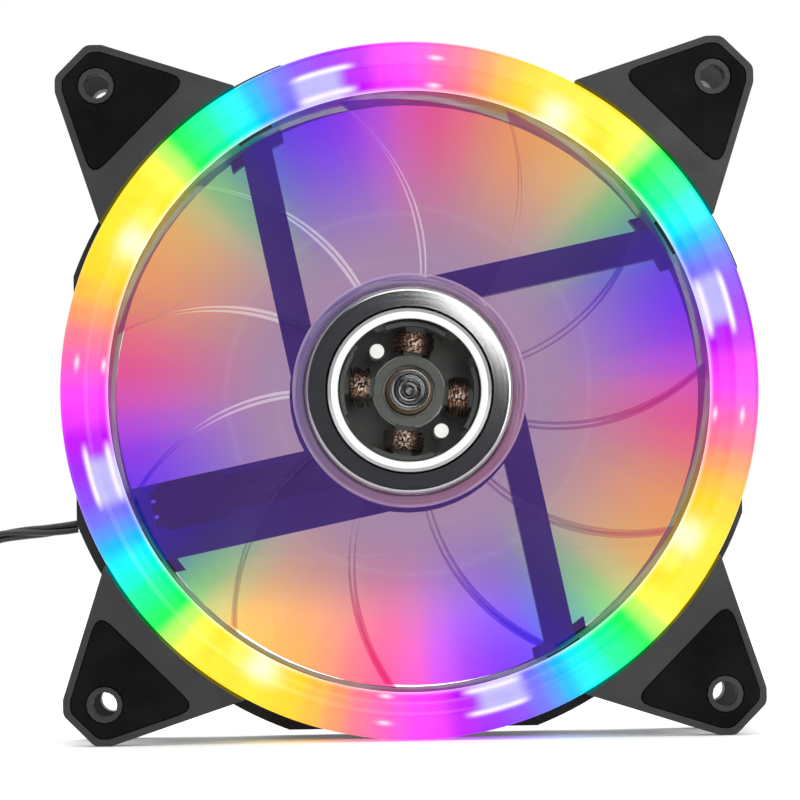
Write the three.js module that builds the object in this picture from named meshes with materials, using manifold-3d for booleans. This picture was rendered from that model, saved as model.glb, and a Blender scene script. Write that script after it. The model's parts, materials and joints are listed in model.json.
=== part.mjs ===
// A 120 mm class case fan with a lit ring: frame, light ring, brushless motor, clear impeller and cable.
// Millimetres. The fan stands on its two lower corner ears, +Z up. Its axis runs along Y and the lit front
// faces -Y. Angles are counter-clockwise from +X as seen from the front.
import * as THREE from 'three';
import Module from 'manifold-3d';
import { mergeVertices } from 'three/addons/utils/BufferGeometryUtils.js';

const wasm = await Module();
wasm.setup();

// ---- Driving dimensions ---------------------------------------------------------------------------------
const HALF_WIDTH = 59.5;         // from the axis to the flats of the corner ears
const AXIS_HEIGHT = HALF_WIDTH;  // so that the lower ears stand on z = 0
const FACE_Y = 12.2;             // the frame's front and rear faces are at -FACE_Y and +FACE_Y
const PAD_PROUD = 0.3;           // the pads stand this far out of those faces
const HOLE_OFFSET = 52.5;        // screw holes on a 105 mm square
const HOLE_RADIUS = 2.15;
const BORE_RADIUS = 51.5;
const BARREL_RADIUS = 53.3;      // outside of the barrel's wall
const FLANGE_RADIUS = 62.3;      // rear flange, trimmed to a square
const FLANGE_FLAT = 58.4;        // from the axis to the flange's flat sides
const PLATE = 4;                 // thickness of the ears and of the rear flange
const GAP = 0.3;                 // between pieces that seat on each other
const FINE = 72;                 // segments round the bore, the ring and the flange
const MEDIUM = 48;               // segments round the hub and the motor
const SMALL = 20;                // segments round the bearing
const TINY = 4;                  // segments in a quarter of a hole, a pin or a rounded corner
const TOLERANCE = 0.01;          // corners nearer than this to a straight edge are dropped

// Light ring and the board under it
const RING_OUTER = 59.3;
const RING_CROWN_Y = -12.5;
const RING_LIP_Y = -7.2;
const SEAT_Y = -3.7;             // front of the flange that carries the ring and its board
const SEAT_THICKNESS = 1.5;
const LED_COUNT = 16;
const LED_FIRST_ANGLE = 15.5;
const LED_RADIUS = 55.55;
const WINDOW_ANGLE = 30;         // first of the four clip windows in the barrel's front edge
const WINDOW_WIDTH = 6.5;

// Struts: each lies along a line that passes the axis at a distance between the two offsets
const STRUT_ANGLE = 11.5;
const STRUT_INNER = 14;
const STRUT_OUTER = 19.4;
const CABLE_STRUT = 2;           // the strut, counted from STRUT_ANGLE, that carries the cable
const CHANNEL_CENTRE = 10.1;     // offset of the cable channel's centre line
const CHANNEL_HALF = 3.1;
const STRUT_FRONT_Y = 7.8;
const STRUT_FOOT = 2.3;          // the foot at the barrel is this much wider on each side
const FOOT_THICKNESS = 3.2;
const CHANNEL_FLOOR_Y = 10.8;

// Motor and impeller
const CUP_RADIUS = 20.8;
const CUP_INNER = 19.4;
const RECESS_RADIUS = 18.2;      // recess for the label in the cup's rear face
const RECESS_Y = 11.7;
const HUB_RADIUS = 20;
const HUB_FRONT_Y = -10.5;
const HUB_REAR_Y = 7.2;
const YOKE_RADIUS = 17.9;
const STACK_FRONT_Y = -1.6;
const STACK_REAR_Y = 4.4;
const POLE_ANGLE = -7;           // direction of the first of the four stator poles
const BLADE_COUNT = 11;
const BLADE_TIP = 50.8;
const SHAFT_RADIUS = 1.5;

// Cable
const CABLE_RADIUS = 1.2;
const CABLE_Y = 9.5;             // centre of the cable inside its channel
const COIL_X = -102.3;
const COIL_Y = -3.3;
const COIL_INNER = 8.5;
const COIL_OUTER = 15.7;
const COIL_BOTTOM = 0.7;
const COIL_TOP = 5.9;

const RADIANS = Math.PI / 180;

// ---- Solids ---------------------------------------------------------------------------------------------
function solid(geometry) {
  const bare = geometry.index ? geometry.toNonIndexed() : geometry.clone();
  bare.deleteAttribute('normal');
  bare.deleteAttribute('uv');
  const merged = mergeVertices(bare, 1e-4);
  const index = merged.index.array;
  const kept = [];
  for (let i = 0; i < index.length; i += 3) {
    const [a, b, c] = [index[i], index[i + 1], index[i + 2]];
    if (a !== b && b !== c && c !== a) kept.push(a, b, c);
  }
  const vertProperties = merged.attributes.position.array;
  const mesh = new wasm.Mesh({ numProp: 3, vertProperties, triVerts: new Uint32Array(kept) });
  const body = new wasm.Manifold(mesh);
  if (body.volume() <= 0) throw new Error('a piece is inside out');
  return body;
}

function geometryOf(body) {
  const { vertProperties, triVerts } = body.asOriginal().simplify(TOLERANCE).getMesh();
  const geometry = new THREE.BufferGeometry();
  geometry.setAttribute('position', new THREE.BufferAttribute(new Float32Array(vertProperties), 3));
  geometry.setIndex(new THREE.BufferAttribute(new Uint32Array(triVerts), 1));
  geometry.computeVertexNormals();
  return geometry;
}

// Booleans take geometries or the results of earlier booleans.
function asSolid(piece) {
  return piece.isBufferGeometry ? solid(piece) : piece;
}

function joined(pieces) {
  return pieces.map(asSolid).reduce((sum, next) => sum.add(next));
}

function cut(piece, tools) {
  return tools.map(asSolid).reduce((left, tool) => left.subtract(tool), asSolid(piece));
}

function common(piece, other) {
  return asSolid(piece).intersect(asSolid(other));
}

// A shape of revolution about the Y axis from [radius, y] corners, listed with the material on the left.
function spun(profile, segments) {
  const points = profile.map(([radius, y]) => new THREE.Vector2(radius, y));
  return new THREE.LatheGeometry([...points, points[0].clone()], segments);
}

function tube(inner, outer, front, rear, segments) {
  return spun([[inner, front], [outer, front], [outer, rear], [inner, rear]], segments);
}

// An outline in the X-Z plane, given thickness from y = front to y = rear.
function plate(shape, front, rear, curveSegments = TINY) {
  const options = { depth: rear - front, bevelEnabled: false, curveSegments };
  const geometry = new THREE.ExtrudeGeometry(shape, options);
  geometry.rotateX(Math.PI / 2);
  geometry.translate(0, rear, 0);
  return geometry;
}

function turned(geometry, degrees) {
  return geometry.clone().rotateY(-degrees * RADIANS);
}

// Copies of some geometries, spread evenly round the axis.
function around(geometries, count, start = 0) {
  const angles = Array.from({ length: count }, (_, i) => start + i * 360 / count);
  return angles.flatMap((angle) => geometries.map((geometry) => turned(geometry, angle)));
}

// A polygon whose corners [x, y, radius] are rounded.
function rounded(corners) {
  const shape = new THREE.Shape();
  const count = corners.length;
  corners.forEach(([x, y, radius], i) => {
    const corner = new THREE.Vector2(x, y);
    const towards = ([otherX, otherY]) => new THREE.Vector2(otherX, otherY).sub(corner).normalize();
    const before = towards(corners[(i + count - 1) % count]);
    const after = towards(corners[(i + 1) % count]);
    const half = Math.acos(before.dot(after)) / 2;
    const reach = radius / Math.tan(half);
    const start = corner.clone().addScaledVector(before, reach);
    const end = corner.clone().addScaledVector(after, reach);
    if (i === 0) shape.moveTo(start.x, start.y);
    else shape.lineTo(start.x, start.y);
    if (radius > 0) shape.quadraticCurveTo(x, y, end.x, end.y);
  });
  shape.closePath();
  return shape;
}

function rectangle(x0, y0, x1, y1, radius = 0) {
  return rounded([[x0, y0, radius], [x1, y0, radius], [x1, y1, radius], [x0, y1, radius]]);
}

function circle(x, y, radius) {
  const shape = new THREE.Shape();
  shape.absarc(x, y, radius, 0, Math.PI, false);
  shape.absarc(x, y, radius, Math.PI, 2 * Math.PI, false);
  return shape;
}

function sector(inner, outer, halfAngle) {
  const shape = new THREE.Shape();
  shape.absarc(0, 0, outer, -halfAngle * RADIANS, halfAngle * RADIANS, false);
  shape.absarc(0, 0, inner, halfAngle * RADIANS, -halfAngle * RADIANS, true);
  shape.closePath();
  return shape;
}

// A closed solid through a path of [x, y, z] points, with a regular section of the given radius.
function alongPath(points, radius, steps, sides) {
  const corners = points.map((point) => new THREE.Vector3(...point));
  const path = new THREE.CatmullRomCurve3(corners, false, 'centripetal');
  const section = new THREE.Shape();
  for (let i = 0; i < sides; i += 1) {
    const angle = (i + 0.5) * 2 * Math.PI / sides;
    const corner = [radius * Math.cos(angle), radius * Math.sin(angle)];
    if (i === 0) section.moveTo(...corner);
    else section.lineTo(...corner);
  }
  section.closePath();
  return new THREE.ExtrudeGeometry(section, { steps, extrudePath: path, bevelEnabled: false });
}

// ---- Scene graph ----------------------------------------------------------------------------------------
const group = new THREE.Group();
const fan = new THREE.Group();
fan.position.z = AXIS_HEIGHT;
group.add(fan);

const LOOKS = {
  frame: { color: 0x2a2a2c, roughness: 0.55 },
  pad: { color: 0x111112, roughness: 0.9 },
  diffuser: { color: 0xfff2ff, roughness: 0.25, transparent: true, opacity: 0.9 },
  whiteBoard: { color: 0xf2f2ee, roughness: 0.6 },
  wire: { color: 0x121214, roughness: 0.45 },
  blackPlastic: { color: 0x1c1c1f, roughness: 0.5 },
  laminations: { color: 0x55585c, roughness: 0.45, metalness: 1 },
  insulator: { color: 0x23261f, roughness: 0.5 },
  copper: { color: 0xb5683a, roughness: 0.35, metalness: 0.9 },
  pin: { color: 0xf0f0ea, roughness: 0.5 },
  board: { color: 0x1f4a30, roughness: 0.45 },
  brass: { color: 0xb08d4a, roughness: 0.35, metalness: 1 },
  sintered: { color: 0x8a6a3c, roughness: 0.5, metalness: 1 },
  seal: { color: 0x202020, roughness: 0.8 },
  label: { color: 0xb9bcc0, roughness: 0.4 },
  clear: { color: 0xe6dcea, roughness: 0.25, transparent: true, opacity: 0.45 },
  steel: { color: 0x8d9095, roughness: 0.18, metalness: 1 },
  magnet: { color: 0x2b2b2d, roughness: 0.6 },
  shaftSteel: { color: 0xc9ccd0, roughness: 0.15, metalness: 1 },
  springSteel: { color: 0x26282b, roughness: 0.4, metalness: 1 },
  tinned: { color: 0xd8d2b8, roughness: 0.3, metalness: 1 },
};

function add(parent, name, body, look, degrees = 0) {
  const mesh = new THREE.Mesh(geometryOf(asSolid(body)), new THREE.MeshStandardMaterial(look));
  mesh.name = name;
  mesh.rotation.y = -degrees * RADIANS;
  parent.add(mesh);
  return mesh;
}

// The same body several times round the axis, each copy a node of its own.
function addAround(names, body, look, start = 0) {
  names.forEach((name, i) => add(fan, name, body, look, start + i * 360 / names.length));
}

function numbered(stem, count) {
  return Array.from({ length: count }, (_, i) => `${stem}_${i + 1}`);
}

// ---- Corner ears ----------------------------------------------------------------------------------------
const EAR_REACH = HALF_WIDTH - HOLE_OFFSET;  // from the hole to the flats of the tip
const EAR_SIDE = 18;                         // each side closes in by this many degrees
const EAR_FLAT = 1;                          // the flat runs on this far past the hole's centre
const EAR_CHAMFER = 8.65;                    // x + z of the chamfered tip, from the hole
const EAR_ROOT = -24;
const RIM = 1.2;                             // the ear's rim round the pad
const RIB_REACH = 66;                        // the rib between a corner's two ears ends here
const RIB_HALF = 1.2;

// The outline of one ear, moved in by inset. A 45 degree edge closes its inner side, where x + z from the
// hole is rootSum.
function earOutline(inset, rootSum, rootRadius) {
  const flat = EAR_REACH - inset;
  const chamfer = EAR_CHAMFER - inset * Math.SQRT2 - flat;
  const side = -EAR_FLAT + inset * Math.tan(EAR_SIDE / 2 * RADIANS);
  const slope = Math.tan(EAR_SIDE * RADIANS);
  const far = (rootSum - flat + slope * side) / (1 + slope);
  const near = rootSum - far;
  const corners = [
    [far, near, rootRadius],
    [near, far, rootRadius],
    [flat, side, 2],
    [flat, chamfer, 2],
    [chamfer, flat, 2],
    [side, flat, 2],
  ];
  return rounded(corners.map(([x, y, radius]) => [x + HOLE_OFFSET, y + HOLE_OFFSET, radius]));
}

const PAD_SUM = -14.8;                       // x + z of the pad's inner edge, from the hole
const BOSS_RADIUS = 3.05;                    // the frame's ring round the screw hole
const PAD_DEPTH = 1.4;

function padOutline(inset, hole) {
  const shape = earOutline(inset, PAD_SUM + (inset - RIM) * Math.SQRT2, 2);
  shape.holes.push(circle(HOLE_OFFSET, HOLE_OFFSET, hole));
  return shape;
}

// ---- Frame ----------------------------------------------------------------------------------------------
const CABLE_TURN = STRUT_ANGLE + 90 * CABLE_STRUT;
const SEAT_REAR = SEAT_Y + SEAT_THICKNESS;
const SLOT_HALF = 1.7;
const SLOT_WALL = 0.6;
const LED_LEAD_PLACE = [55.3, CHANNEL_CENTRE];  // along the cable strut's line, and its offset

function flangeOutline() {
  const start = Math.acos(FLANGE_FLAT / FLANGE_RADIUS);
  const shape = new THREE.Shape();
  for (let quarter = 0; quarter < 4; quarter += 1) {
    const turn = quarter * Math.PI / 2;
    shape.absarc(0, 0, FLANGE_RADIUS, turn + start, turn + Math.PI / 2 - start, false);
  }
  shape.closePath();
  return shape;
}

// A bar along +X between two offsets in Z.
function bar(from, to, inner, outer, front, rear) {
  return plate(rectangle(from, inner, to, outer), front, rear);
}

// What carries the light ring: the seat behind it and the rim beside it where the ears start.
function earsAndSeat() {
  const ear = earOutline(0, EAR_ROOT, 0);
  const frontEars = around([plate(ear, -FACE_Y, PLATE - FACE_Y)], 4);
  const rearEars = around([plate(ear, FACE_Y - PLATE, FACE_Y)], 4);
  const rims = joined(around([plate(ear, -FACE_Y, SEAT_REAR)], 4));
  const nearRing = tube(RING_OUTER - 1, RING_OUTER + 2.7, -FACE_Y, SEAT_REAR, FINE);
  const rib = bar(BORE_RADIUS, RIB_REACH, -RIB_HALF, RIB_HALF, 1 - FACE_Y, FACE_Y - 1);
  const ribs = around([rib], 4, 45);
  const seat = tube(BORE_RADIUS - 1, RING_OUTER, SEAT_Y, SEAT_REAR, FINE);
  const ringPocket = tube(0, RING_OUTER + 0.5, -FACE_Y - 1, SEAT_Y, FINE);
  const flange = plate(flangeOutline(), FACE_Y - PLATE, FACE_Y, 12);
  const outside = joined([...frontEars, ...rearEars, ...ribs, seat, flange, common(rims, nearRing)]);
  return cut(outside, [ringPocket]);
}

function motorCup() {
  return spun([
    [4.1, 10.05], [6.4, 10.05], [6.4, CHANNEL_FLOOR_Y], [CUP_INNER, CHANNEL_FLOOR_Y], [CUP_INNER, 8.2],
    [CUP_RADIUS, 8.2], [CUP_RADIUS, FACE_Y], [RECESS_RADIUS, FACE_Y], [RECESS_RADIUS, RECESS_Y],
    [4.1, RECESS_Y],
  ], MEDIUM);
}

function struts() {
  const inBarrel = tube(0, BORE_RADIUS + 0.9, 0, FACE_Y, FINE);
  const narrow = bar(2, BARREL_RADIUS, STRUT_INNER, STRUT_OUTER, STRUT_FRONT_Y, FACE_Y);
  const footInner = STRUT_INNER - STRUT_FOOT;
  const footOuter = STRUT_OUTER + STRUT_FOOT;
  const foot = bar(44, BARREL_RADIUS, footInner, footOuter, FACE_Y - FOOT_THICKNESS, FACE_Y);
  const againstBarrel = tube(BORE_RADIUS - 1.7, BARREL_RADIUS, 0, FACE_Y, FINE);
  const feet = common(joined(around([foot], 4, STRUT_ANGLE)), againstBarrel);
  const wideInner = CHANNEL_CENTRE - CHANNEL_HALF - 1.2;
  const wide = bar(10, BARREL_RADIUS, wideInner, STRUT_OUTER - 1, STRUT_FRONT_Y, FACE_Y);
  const crossing = joined([...around([narrow], 4, STRUT_ANGLE), turned(wide, CABLE_TURN), feet]);
  const motorSpace = tube(0, CUP_INNER, 0, CHANNEL_FLOOR_Y, MEDIUM);
  const labelRecess = tube(0, RECESS_RADIUS, RECESS_Y, FACE_Y + 1, MEDIUM);
  return cut(common(crossing, inBarrel), [motorSpace, labelRecess]);
}

function cableCuts() {
  const inner = CHANNEL_CENTRE - CHANNEL_HALF;
  const outer = CHANNEL_CENTRE + CHANNEL_HALF;
  const slotInner = CHANNEL_CENTRE - SLOT_HALF;
  const slotOuter = CHANNEL_CENTRE + SLOT_HALF;
  const channel = bar(12, BORE_RADIUS - 3.5, inner, outer, 5, CHANNEL_FLOOR_Y);
  // The slot is open to the rear only, past the barrel.
  const slotParts = [[40, 54.5, FACE_Y - PLATE], [54, 70, FACE_Y - PLATE + SLOT_WALL]];
  const slots = slotParts.map(([from, to, front]) => bar(from, to, slotInner, slotOuter, front, FACE_Y + 1));
  const ledLeadHole = plate(circle(...LED_LEAD_PLACE, 1.1), SEAT_Y - 1, SEAT_REAR + 1, 2);
  return [channel, ...slots, ledLeadHole].map((tool) => turned(tool, CABLE_TURN));
}

function frame() {
  const barrel = tube(BORE_RADIUS - 1, BARREL_RADIUS, RING_LIP_Y + GAP, FACE_Y, FINE);
  const bore = tube(0, BORE_RADIUS, -FACE_Y - 1, FACE_Y + 1, FINE);
  const shell = cut(joined([earsAndSeat(), barrel]), [bore]);
  const screwHole = plate(circle(HOLE_OFFSET, HOLE_OFFSET, HOLE_RADIUS), -FACE_Y - 1, FACE_Y + 1, TINY);
  const recess = padOutline(RIM, BOSS_RADIUS);
  const frontRecess = plate(recess, -FACE_Y - 1, PAD_DEPTH - FACE_Y);
  const rearRecess = plate(recess, FACE_Y - PAD_DEPTH, FACE_Y + 1);
  const tabNotch = bar(RING_OUTER - 1.6, RING_OUTER + 1, -3.4, 3.4, SEAT_Y - 1, SEAT_REAR + 1);
  const half = WINDOW_WIDTH / 2;
  const window = bar(BORE_RADIUS - 1.5, BARREL_RADIUS + 0.2, -half, half, RING_LIP_Y - 1, SEAT_REAR - 0.2);
  const holes = [
    ...around([screwHole, frontRecess, rearRecess, tabNotch], 4),
    ...around([window], 4, WINDOW_ANGLE),
    ...cableCuts(),
  ];
  return cut(joined([shell, struts(), motorCup()]), holes);
}

add(fan, 'frame', frame(), LOOKS.frame);

// Anti-vibration pads in the recesses of the ears, front and rear
const padShape = padOutline(RIM + 0.15, BOSS_RADIUS + 0.2);
const frontPad = plate(padShape, -FACE_Y - PAD_PROUD, PAD_DEPTH - 0.1 - FACE_Y);
const rearPad = plate(padShape, FACE_Y - PAD_DEPTH + 0.1, FACE_Y + PAD_PROUD);
addAround(numbered('front_pad', 4), frontPad, LOOKS.pad);
addAround(numbered('rear_pad', 4), rearPad, LOOKS.pad);

// ---- Light ring -----------------------------------------------------------------------------------------
const RING_CROWN_INNER = 55.6;
const RING_WALL = 1.5;
const RING_REAR = SEAT_Y - 0.2;

// The inlet curve from the lip up to the crown, moved into the wall by inset.
function inletCurve(inset, count) {
  const wide = RING_CROWN_INNER - BORE_RADIUS - inset;
  const deep = RING_LIP_Y - RING_CROWN_Y - inset;
  return Array.from({ length: count + 1 }, (_, i) => {
    const angle = i / count * Math.PI / 2;
    return [RING_CROWN_INNER - wide * Math.cos(angle), RING_LIP_Y - deep * Math.sin(angle)];
  });
}

function lightRing() {
  const body = spun([
    [RING_OUTER, RING_REAR],
    [RING_OUTER - RING_WALL, RING_REAR],
    [RING_OUTER - RING_WALL, RING_CROWN_Y + RING_WALL],
    ...inletCurve(RING_WALL, 2).reverse(),
    ...inletCurve(0, 4),
    [RING_OUTER - 0.7, RING_CROWN_Y],
    [RING_OUTER, RING_CROWN_Y + 0.7],
  ], FINE);
  const tab = bar(RING_OUTER - 1.3, RING_OUTER - 0.2, -3, 3, RING_REAR - 0.5, -1.2);
  const barb = bar(RING_OUTER - 2.3, RING_OUTER - 1.2, -3, 3, -1.9, -1.2);
  return joined([body, ...around([tab, barb], 4)]);
}

add(fan, 'light_ring', lightRing(), LOOKS.diffuser);
add(fan, 'led_board', tube(53.7, 57.4, SEAT_Y - 1.5, SEAT_Y - GAP, FINE), LOOKS.whiteBoard);

const ledChip = bar(LED_RADIUS - 1.4, LED_RADIUS + 1.4, -1.75, 1.75, SEAT_Y - 3, SEAT_Y - 1.6);
addAround(numbered('led', LED_COUNT), ledChip, LOOKS.pin, LED_FIRST_ANGLE);

const ledLead = plate(circle(...LED_LEAD_PLACE, 0.75), SEAT_Y - 0.1, 7.9, 2);
add(fan, 'led_lead', ledLead, LOOKS.wire, CABLE_TURN);

// ---- Motor, fixed side ----------------------------------------------------------------------------------
function statorCore() {
  const sleeve = tube(4.15, 6.4, STACK_FRONT_Y, STACK_REAR_Y, SMALL);
  const arm = bar(5.5, 13.6, -1.6, 1.6, STACK_FRONT_Y, STACK_REAR_Y);
  const shoe = plate(sector(13.1, 14.7, 37), STACK_FRONT_Y, STACK_REAR_Y, 8);
  return joined([sleeve, ...around([arm, shoe], 4, POLE_ANGLE)]);
}

// One end insulator: a ring round the sleeve, a strip on each arm, and a shoe and an upright flange outside
// each coil. Heights are measured from the stack's face.
function insulator(face, direction) {
  const between = (low, high) => [face + direction * low, face + direction * high].sort((a, b) => a - b);
  const sleeve = tube(4.5, 6.1, ...between(0.15, 2.8), SMALL);
  const strip = bar(5.5, 13.4, -1.6, 1.6, ...between(0.15, 0.9));
  const flange = plate(sector(11.2, 12, 27), ...between(0.15, 2.8), 6);
  const shoe = plate(sector(11.6, 14.4, 35), ...between(0.15, 0.8), 6);
  return joined([sleeve, ...around([strip, flange, shoe], 4, POLE_ANGLE)]);
}

// Copper wound round one arm: a loop seen along the arm, as deep as the winding is long.
const COIL_LENGTH = 3.7;

function coil() {
  const middle = (STACK_FRONT_Y + STACK_REAR_Y) / 2;
  const shape = rectangle(-3.6, middle - 5.6, 3.6, middle + 5.6, 1.6);
  shape.holes.push(rectangle(-1.9, middle - 4.1, 1.9, middle + 4.1));
  const options = { depth: COIL_LENGTH, bevelEnabled: false, curveSegments: TINY };
  const winding = new THREE.ExtrudeGeometry(shape, options);
  winding.rotateY(Math.PI / 2);
  winding.translate(6.7, 0, 0);
  return winding;
}

add(fan, 'stator_core', statorCore(), LOOKS.laminations);
add(fan, 'insulator_front', insulator(STACK_FRONT_Y, -1), LOOKS.insulator);
add(fan, 'insulator_rear', insulator(STACK_REAR_Y, 1), LOOKS.insulator);
addAround(numbered('coil', 4), coil(), LOOKS.copper, POLE_ANGLE);
const insulatorPin = plate(circle(8.8, 0, 1.3), -4.9, 8.7, 3);
addAround(numbered('insulator_pin', 2), insulatorPin, LOOKS.pin, POLE_ANGLE + 135);
add(fan, 'motor_board', tube(4.9, 16.3, 8.9, 9.9, MEDIUM), LOOKS.board);
add(fan, 'hall_sensor', bar(13.8, 15.4, -2, 2, 5.9, 8.8), LOOKS.blackPlastic, POLE_ANGLE + 45);
add(fan, 'bearing_tube', tube(3.25, 4, -4.3, 11.6, SMALL), LOOKS.brass);
add(fan, 'sleeve_bearing', tube(SHAFT_RADIUS + 0.04, 3.2, -3.2, 8.2, SMALL), LOOKS.sintered);
add(fan, 'oil_seal', tube(1.7, 3.15, -4.2, -3.4, SMALL), LOOKS.seal);
add(fan, 'end_cap', tube(0, 3.15, 10.5, 11.5, SMALL), LOOKS.blackPlastic);
add(fan, 'rear_label', tube(0, 17.8, 11.8, 12, MEDIUM), LOOKS.label);

// ---- Rotor ----------------------------------------------------------------------------------------------
// A blade rises from its rear edge to its front edge in the direction of rotation. Its tip leans forward.
const BLADE_ROOT = HUB_RADIUS - 0.8;
const BLADE_SPAN = 35;           // degrees that a blade covers
const BLADE_LEAN = 20;           // degrees that the tip is ahead of the root
const BLADE_FRONT_Y = -8.4;
const BLADE_REAR_Y = 5.4;
const BLADE_ROWS = 4;            // from hub to tip
const BLADE_COLUMNS = 5;         // from edge to edge

// along runs from the hub to the tip, across from the front edge to the rear edge, face is -1 or 1.
function bladePoint(along, across, face) {
  const radius = BLADE_ROOT + (BLADE_TIP - BLADE_ROOT) * along;
  const angle = (BLADE_LEAN * along ** 1.4 + BLADE_SPAN * (0.5 - across)) * RADIANS;
  const rise = across + 0.12 * Math.sin(Math.PI * across);
  const y = BLADE_FRONT_Y + (BLADE_REAR_Y - BLADE_FRONT_Y) * rise;
  const thickness = 0.5 + 0.5 * Math.sin(Math.PI * across) * (1.3 - 0.6 * along);
  return [radius * Math.cos(angle), y + face * thickness, radius * Math.sin(angle)];
}

function blade() {
  const positions = [];
  for (const face of [-1, 1]) {
    for (let i = 0; i <= BLADE_ROWS; i += 1) {
      for (let j = 0; j <= BLADE_COLUMNS; j += 1) {
        positions.push(...bladePoint(i / BLADE_ROWS, j / BLADE_COLUMNS, face));
      }
    }
  }
  const layer = (BLADE_ROWS + 1) * (BLADE_COLUMNS + 1);
  const front = (i, j) => i * (BLADE_COLUMNS + 1) + j;
  const rear = (i, j) => layer + front(i, j);
  const index = [];
  const quad = (a, b, c, d) => index.push(a, b, c, a, c, d);
  for (let i = 0; i < BLADE_ROWS; i += 1) {
    for (let j = 0; j < BLADE_COLUMNS; j += 1) {
      quad(front(i, j), front(i, j + 1), front(i + 1, j + 1), front(i + 1, j));
      quad(rear(i, j), rear(i + 1, j), rear(i + 1, j + 1), rear(i, j + 1));
    }
    quad(front(i, 0), front(i + 1, 0), rear(i + 1, 0), rear(i, 0));
    const last = BLADE_COLUMNS;
    quad(front(i + 1, last), front(i, last), rear(i, last), rear(i + 1, last));
  }
  for (let j = 0; j < BLADE_COLUMNS; j += 1) {
    const tip = BLADE_ROWS;
    quad(front(0, j + 1), front(0, j), rear(0, j), rear(0, j + 1));
    quad(front(tip, j), front(tip, j + 1), rear(tip, j + 1), rear(tip, j));
  }
  const geometry = new THREE.BufferGeometry();
  geometry.setAttribute('position', new THREE.BufferAttribute(new Float32Array(positions), 3));
  geometry.setIndex(index);
  return geometry;
}

function impeller() {
  const discRear = HUB_FRONT_Y + 1.1;
  const hub = spun([
    [0, HUB_FRONT_Y], [HUB_RADIUS - 0.8, HUB_FRONT_Y], [HUB_RADIUS, HUB_FRONT_Y + 0.8],
    [HUB_RADIUS, HUB_REAR_Y], [18.5, HUB_REAR_Y], [18.2, discRear], [4.65, discRear], [4.65, -5.2],
    [3.65, -5.2], [3.65, discRear], [0, discRear],
  ], MEDIUM);
  return joined([hub, ...around([blade()], BLADE_COUNT)]);
}

// Steel cup that closes the magnets' field, with a rolled lip round its front opening
function yoke() {
  const lip = [50, 90, 135, 180, 225, 270, 310].map((degrees) => {
    const angle = degrees * RADIANS;
    return [12.95 + 0.72 * Math.cos(angle), -8.5 + 0.72 * Math.sin(angle)];
  });
  return spun([
    [13.6, -8.75], [17.5, -8.75], [YOKE_RADIUS, -8.35], [YOKE_RADIUS, 6.6], [YOKE_RADIUS - 1, 6.6],
    [YOKE_RADIUS - 1, -7.95], ...lip,
  ], MEDIUM);
}

function shaft() {
  return spun([
    [0, -9.2], [SHAFT_RADIUS, -9.2], [SHAFT_RADIUS, 8.7], [1.15, 8.7], [1.15, 9.4], [SHAFT_RADIUS, 9.4],
    [SHAFT_RADIUS, 9.7], [1, 10.2], [0, 10.2],
  ], SMALL);
}

add(fan, 'impeller', impeller(), LOOKS.clear);
add(fan, 'rotor_yoke', yoke(), LOOKS.steel);
add(fan, 'ring_magnet', tube(15.4, 16.6, -6.5, 5.3, MEDIUM), LOOKS.magnet);
add(fan, 'shaft', shaft(), LOOKS.shaftSteel);
add(fan, 'shaft_bush', tube(SHAFT_RADIUS + 0.05, 3.55, -9.2, -5, SMALL), LOOKS.steel);
const clip = cut(tube(1.25, 2.9, 8.8, 9.3, SMALL), [bar(0, 4, -0.5, 0.5, 8, 10)]);
add(fan, 'retaining_clip', clip, LOOKS.springSteel);

// ---- Cable inside the frame -----------------------------------------------------------------------------
// From the motor board along the strut's channel and out through the slot in the flange: the distance along
// the strut's line, the offset, and y.
const leadRoute = [
  [14.1, 9.4, CABLE_Y],
  [20, 9.8, CABLE_Y],
  [28, CHANNEL_CENTRE, CABLE_Y],
  [38, CHANNEL_CENTRE, CABLE_Y],
  [48, CHANNEL_CENTRE, CABLE_Y + 0.4],
  [55, CHANNEL_CENTRE, CABLE_Y + 0.7],
  [61.5, CHANNEL_CENTRE, CABLE_Y + 0.7],
];
const leadPoints = leadRoute.map(([along, offset, y]) => [along, y, offset]);
add(fan, 'motor_lead', alongPath(leadPoints, CABLE_RADIUS, 14, 8), LOOKS.wire, CABLE_TURN);

const coverShape = rectangle(34.5, STRUT_INNER - 8.2, 47.2, STRUT_INNER + 0.4, 2.4);
const wireCover = plate(coverShape, STRUT_FRONT_Y - 1.2, STRUT_FRONT_Y - 0.2);
add(fan, 'wire_cover', wireCover, LOOKS.blackPlastic, CABLE_TURN);

// ---- Free cable -----------------------------------------------------------------------------------------
// Straight out of the slot, down to the surface, along it and into a coil beside the fan.
const cableRoute = [
  [-60.6, 10.2, 36.9],
  [-64, 10.2, 36.5],
  [-68, 10.3, 36.3],
  [-72, 10.4, 35.8],
  [-75.5, 10.6, 34.4],
  [-78.3, 10.9, 31.9],
  [-80, 11.1, 28.4],
  [-80.8, 11.2, 24],
  [-81.1, 11.2, 19],
  [-81.5, 11.2, 14],
  [-82.5, 11.2, 9.4],
  [-84.6, 11.2, 5.2],
  [-87.8, 11.2, 2.6],
  [-91.5, 11.2, 1.8],
];
add(group, 'cable', alongPath(cableRoute, CABLE_RADIUS, 34, 8), LOOKS.wire);

const coilPlace = new THREE.Group();
coilPlace.position.set(COIL_X, COIL_Y, 0);
group.add(coilPlace);
const coilRing = tube(COIL_INNER, COIL_OUTER, COIL_BOTTOM, COIL_TOP, 40);
add(coilPlace, 'cable_coil', coilRing, LOOKS.wire).rotation.x = Math.PI / 2;

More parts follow.
